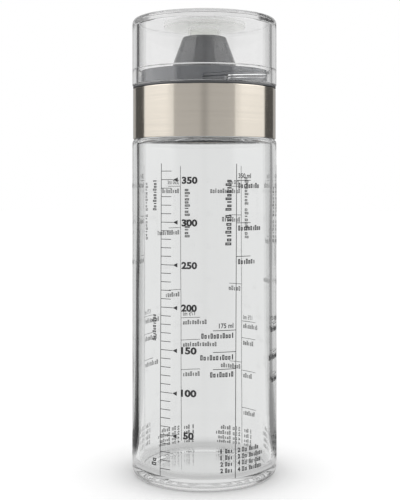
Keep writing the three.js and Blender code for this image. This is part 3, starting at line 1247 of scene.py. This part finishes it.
@dataclass(frozen=True)
class RecipePanel(GlassPrint):
    """One recipe: a long line, steps for a full and a half bottle, a title and a small table."""

    name: str
    degrees: float
    full: tuple[Step, ...]
    half: tuple[Step, ...]
    title: tuple[float, ...]
    rows: tuple[float, ...] = (5.5, 8.2, 7.0, 7.6)
    foot: float = 5.6
    head: float = 138.4
    tick: float = 7.2
    half_tick: float = 10.08
    text_height: float = 2.2
    text_drop: float = 3.3
    right_gap: float = 0.9
    left_gap: float = 0.8
    amount_width: float = 6.4
    amount_height: float = 2.1
    amount_gap: float = 1.2
    title_height: float = 2.7
    title_gap: float = 2.3
    title_space: float = 1.4
    row_height: float = 1.95
    title_foot: float = 104.0
    columns: tuple[float, ...] = (-6.7, -4.6, 1.1, 3.2, 6.9)
    unit_widths: tuple[float, float] = (3.4, 2.8)
    narrow_digit: float = 0.6
    wide_digit: float = 1.25
    rows_top: float = 16.4
    row_pitch: float = 2.73

    def build(self) -> Piece:
        """Builds the panel as one sheet of ink."""
        sheet = InkSheet(self.name)
        line = math.radians(self.degrees) * sheet.radius
        sheet.long_line(line, self.foot, self.head)
        right = line + self.right_gap
        for step in self.full:
            sheet.tick(line, step.height, self.tick)
            sheet.words(right, step.height - self.text_drop, step.words, self.text_height)
        for step in self.half:
            sheet.tick(line - self.half_tick, step.height, self.half_tick)
            sheet.words(line - self.left_gap - step.words, step.height - self.text_drop,
                        step.words, self.text_height)
        amount_left = line - self.amount_gap - self.amount_width
        for text, left, step in (("350 ml", right, self.full[0]),
                                 ("175 ml", amount_left, self.half[0])):
            sheet.label(text, left, step.height + self.right_gap, self.amount_width,
                        self.amount_height, 0.02)
        low = self.title_foot
        for length in self.title:
            sheet.words(0.0, 0.0, length, self.title_height, upright(line - self.title_gap, low))
            low += length + self.title_space
        half, half_unit, whole, whole_unit, words = (line + shift for shift in self.columns)
        for number, width in enumerate(self.rows):
            height = self.rows_top - self.row_pitch * number
            some, many = 1 + number // 2, 2 + number // 2 * 2
            size = self.row_height
            sheet.label(str(some), half, height, self.narrow_digit * some, size)
            sheet.words(half_unit, height, self.unit_widths[0], size)
            sheet.label(str(many), whole, height, self.wide_digit, size)
            sheet.words(whole_unit, height, self.unit_widths[1], size)
            sheet.words(words, height, width, size)
        return sheet.lay_round()


PANELS = (
    RecipePanel("print_panel_front", 24.4, (Step(131.4, 11.4), Step(113.4, 12.4), Step(99.2, 9.0)),
                (Step(68.2, 14.2), Step(59.1, 14.6), Step(51.9, 10.4)), (13.2, 13.4)),
    RecipePanel("print_panel_right", 86.0, (Step(131.4, 12.0), Step(106.0, 10.0), Step(88.0, 13.0)),
                (Step(68.2, 12.0), Step(56.0, 14.0), Step(46.0, 11.0)), (10.0, 13.4)),
    RecipePanel("print_panel_back_right", 144.2,
                (Step(128.7, 16.4), Step(115.0, 10.4), Step(82.0, 7.0), Step(44.7, 11.4)),
                (Step(64.4, 11.0), Step(56.4, 7.4), Step(40.9, 6.2), Step(23.2, 8.4)),
                (14.6, 13.4), rows_top=11.6, row_pitch=2.5),
    RecipePanel("print_panel_back_left", 202.1,
                (Step(128.7, 10.4), Step(108.8, 13.9), Step(79.0, 8.4)),
                (Step(65.3, 12.6), Step(54.6, 17.7), Step(40.3, 8.9)),
                (9.0, 13.4), rows_top=11.6, row_pitch=2.5),
    RecipePanel("print_panel_left", 252.0, (Step(131.4, 11.8), Step(115.0, 9.6), Step(97.0, 12.2)),
                (Step(68.2, 13.4), Step(60.0, 11.8), Step(48.0, 12.8)), (12.0, 13.4)),
)


# ---------------------------------------------------------------- floor, light and camera


@dataclass
class Studio:
    """A pale floor, a plain studio all round as the world, and the camera."""

    floor_radius: float = 4.0
    floor_white: float = 0.96
    floor_lift: float = 0.24
    diffuse_level: float = 0.95
    camera_distance: float = 0.4438
    camera_height: float = 0.1304
    focal_length: float = 70.56
    shift_x: float = -0.0088
    shift_y: float = -0.1346
    light_bounces: int = 32
    floor_limit: float = 0.85
    world_limit: float = 1.25
    limit_height: float = 0.12
    overhead_level: float = 0.8
    overhead: tuple[float, float] = (0.8, 0.95)
    high_boxes: tuple[float, float] = (0.16, 0.3)
    near: tuple[float, float] = (0.04, 0.063)
    contact_shade: Stops = (
        (0.0, 0.72), (0.0325, 0.74), (0.039, 0.86), (0.046, 0.94), (0.06, 0.98), (0.08, 1.0))
    # Painted shade for reflections and the glass: the floor is darker under and round the foot.
    seen_near: Stops = (
        (0.0, 0.68), (0.011, 0.66), (0.0215, 0.58), (0.031, 0.5), (0.035, 0.52),
        (0.042, 0.7), (0.07, 0.76))
    mirrored: Stops = (
        (0.0, 0.42), (3.0, 0.46), (9.0, 0.59), (49.0, 0.61), (50.0, 1.06), (111.0, 1.06),
        (112.5, 0.1), (144.0, 0.1), (146.0, 0.46), (180.0, 0.4))
    mirrored_high: Stops = (
        (0.0, 0.35), (58.0, 0.4), (62.0, 2.9), (116.0, 2.9), (119.0, 0.15), (144.0, 0.15),
        (148.0, 0.6), (180.0, 0.62))
    see_left: Stops = (
        (0.0, 0.5), (9.0, 0.62), (49.0, 0.62), (50.0, 1.22), (111.0, 1.22),
        (113.0, 0.03), (144.0, 0.05), (148.0, 0.74), (180.0, 0.77))
    see_right: Stops = (
        (0.0, 0.5), (9.0, 0.62), (49.0, 0.62), (50.0, 1.22), (111.0, 1.22),
        (114.0, 0.25), (143.0, 0.3), (147.0, 0.74), (180.0, 0.77))
    see_through: Stops = (
        (0.0, 0.5), (9.0, 0.62), (49.0, 0.62), (50.0, 1.22), (111.0, 1.22), (118.0, 0.78),
        (180.0, 0.77))

    def build(self) -> None:
        """Builds the floor, the world and the camera."""
        self.surround = self.build_surround()
        self.build_floor()
        self.build_world()
        self.build_camera()

    def build_surround(self) -> Tree:
        """Builds the ring of softboxes and dark flags that shiny and clear faces see.

        Returns:
            A group with the input Direction and the outputs Mirrored, Edge and Through.
        """
        group = new_group("studio_surround", {"Direction": "Vector"},
                          {"Mirrored": "Color", "Edge": "Color", "Through": "Color"})
        bench = NodeBench(group)
        way = bench.add("NodeGroupInput").outputs["Direction"]
        parts = bench.add("ShaderNodeSeparateXYZ", {0: way}).outputs
        ahead = bench.math("MULTIPLY", parts[1], -1.0)
        angle = bench.math("ARCTAN2", bench.math("ABSOLUTE", parts[0]), ahead)
        degrees = bench.math("DEGREES", angle)
        low, high, left_edge, right_edge, through = (
            bench.ramp(degrees, stops) for stops in (
                self.mirrored, self.mirrored_high, self.see_left, self.see_right,
                self.see_through))
        raised = bench.between(parts[2], *self.high_boxes)
        right = bench.math("GREATER_THAN", parts[0], 0.0)
        bench.add("NodeGroupOutput", {
            "Mirrored": bench.mix_colour(raised, low, high),
            "Edge": bench.mix_colour(right, left_edge, right_edge),
            "Through": through,
        })
        return group

    def surround_level(self, bench: NodeBench, way: Socket, rays: Outputs) -> Socket:
        """Places the ring, and picks its level for shiny faces, clear edges and clear walls.

        Args:
            bench: Where to place it.
            way: The socket with the direction or place.
            rays: The outputs of the light path.

        Returns:
            The level's socket.
        """
        around = bench.add("ShaderNodeGroup", {"Direction": way}, node_tree=self.surround).outputs
        walls = bench.math("GREATER_THAN", rays["Transmission Depth"], 3.0)
        seen = bench.mix_colour(walls, around["Edge"], around["Through"])
        return bench.mix_colour(rays["Is Transmission Ray"], around["Mirrored"], seen)

    def build_floor(self) -> None:
        """Builds the round floor with a soft contact shade painted under the object, and a darker
        painted shade there for reflections and the glass.
        """
        disc = bmesh.new()
        bmesh.ops.create_circle(disc, cap_ends=True, segments=64, radius=self.floor_radius)
        mesh = bpy.data.meshes.new("floor")
        disc.to_mesh(mesh)
        disc.free()
        floor = placed("floor", mesh)
        material = bpy.data.materials.new("pale_floor")
        bench = empty_bench(material)
        place = bench.add("ShaderNodeTexCoord").outputs["Object"]
        reach = bench.add("ShaderNodeVectorMath", {0: place}, operation="LENGTH").outputs["Value"]
        contact = bench.ramp(reach, self.contact_shade, "B_SPLINE")
        colour = bench.mix_colour(1.0, contact, grey(self.floor_white), "MULTIPLY")
        diffuse = bench.add("ShaderNodeBsdfDiffuse", {"Color": colour})
        rays = bench.add("ShaderNodeLightPath").outputs
        lift = bench.math("MULTIPLY", rays["Is Camera Ray"], self.floor_lift)
        glow = bench.add("ShaderNodeEmission", {"Color": colour, "Strength": lift})
        seen = bench.add("ShaderNodeAddShader", {0: diffuse.outputs[0], 1: glow.outputs[0]})
        around = self.surround_level(bench, place, rays)
        # Painted shade: a darker floor near the foot for reflections and the glass, in place of the
        # object's shadow.
        painted_shade_close = bench.ramp(reach, self.seen_near, "B_SPLINE")
        far = bench.mix_colour(1.0, around, grey(self.floor_limit), "DARKEN")
        level = bench.mix_colour(bench.between(reach, *self.near), painted_shade_close, far)
        mirrored = bench.add("ShaderNodeEmission", {"Color": level, "Strength": 1.0})
        indirect = bench.math("MAXIMUM", rays["Is Glossy Ray"], rays["Is Transmission Ray"])
        both = bench.add("ShaderNodeMixShader", {0: indirect, 1: seen.outputs[0],
                                                2: mirrored.outputs[0]})
        bench.add("ShaderNodeOutputMaterial", {"Surface": both.outputs[0]})
        mesh.materials.append(material)

    def build_world(self) -> None:
        """Builds the world: white to the camera, plain to matt faces, softboxes to shiny ones."""
        world = bpy.data.worlds.new("studio")
        bpy.context.scene.world = world
        bench = empty_bench(world)
        world.cycles.sampling_method = "NONE"
        way = bench.add("ShaderNodeTexCoord").outputs["Generated"]
        height = bench.add("ShaderNodeSeparateXYZ", {0: way}).outputs[2]
        above = bench.between(height, *self.overhead)
        rays = bench.add("ShaderNodeLightPath").outputs
        around = self.surround_level(bench, way, rays)
        limit = bench.add("ShaderNodeMapRange", {
            0: height, 1: 0.0, 2: self.limit_height, 3: self.floor_limit,
            4: self.world_limit}).outputs[0]
        level = bench.mix_colour(rays["Is Transmission Ray"], around,
                                 bench.mix_colour(1.0, around, limit, "DARKEN"))
        studio = bench.mix_colour(above, level, grey(self.overhead_level))
        lit = bench.mix_colour(rays["Is Diffuse Ray"], studio, grey(self.diffuse_level))
        shown = bench.mix_colour(rays["Is Camera Ray"], lit, grey(1.0))
        sky = bench.add("ShaderNodeBackground", {"Color": shown, "Strength": 1.0})
        bench.add("ShaderNodeOutputWorld", {"Surface": sky.outputs[0]})

    def build_camera(self) -> None:
        """Builds the camera at the photograph's angle."""
        lens = bpy.data.cameras.new("camera")
        lens.lens = self.focal_length
        lens.sensor_width = 36.0
        lens.shift_x = self.shift_x
        lens.shift_y = self.shift_y
        lens.clip_start = 0.01
        camera = placed("camera", lens)
        camera.location = (0.0, -self.camera_distance, self.camera_height)
        camera.rotation_euler = (math.pi / 2, 0.0, 0.0)
        bpy.context.scene.camera = camera
        bpy.context.scene.view_settings.view_transform = "Standard"
        cycles = bpy.context.scene.cycles
        cycles.max_bounces = self.light_bounces
        cycles.transmission_bounces = self.light_bounces
        cycles.glossy_bounces = self.light_bounces


def main() -> None:
    """Builds the studio and every piece in order."""
    logging.basicConfig(level=logging.INFO, format="%(name)s: %(message)s")
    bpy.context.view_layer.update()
    Studio().build()
    workshop = Workshop()
    for part in (GlassBottle(), NeckGasket(), PourClosure(), ClearCap(), MeasuringScale(), *PANELS):
        part.dress(workshop)


if __name__ == "__main__":
    main()
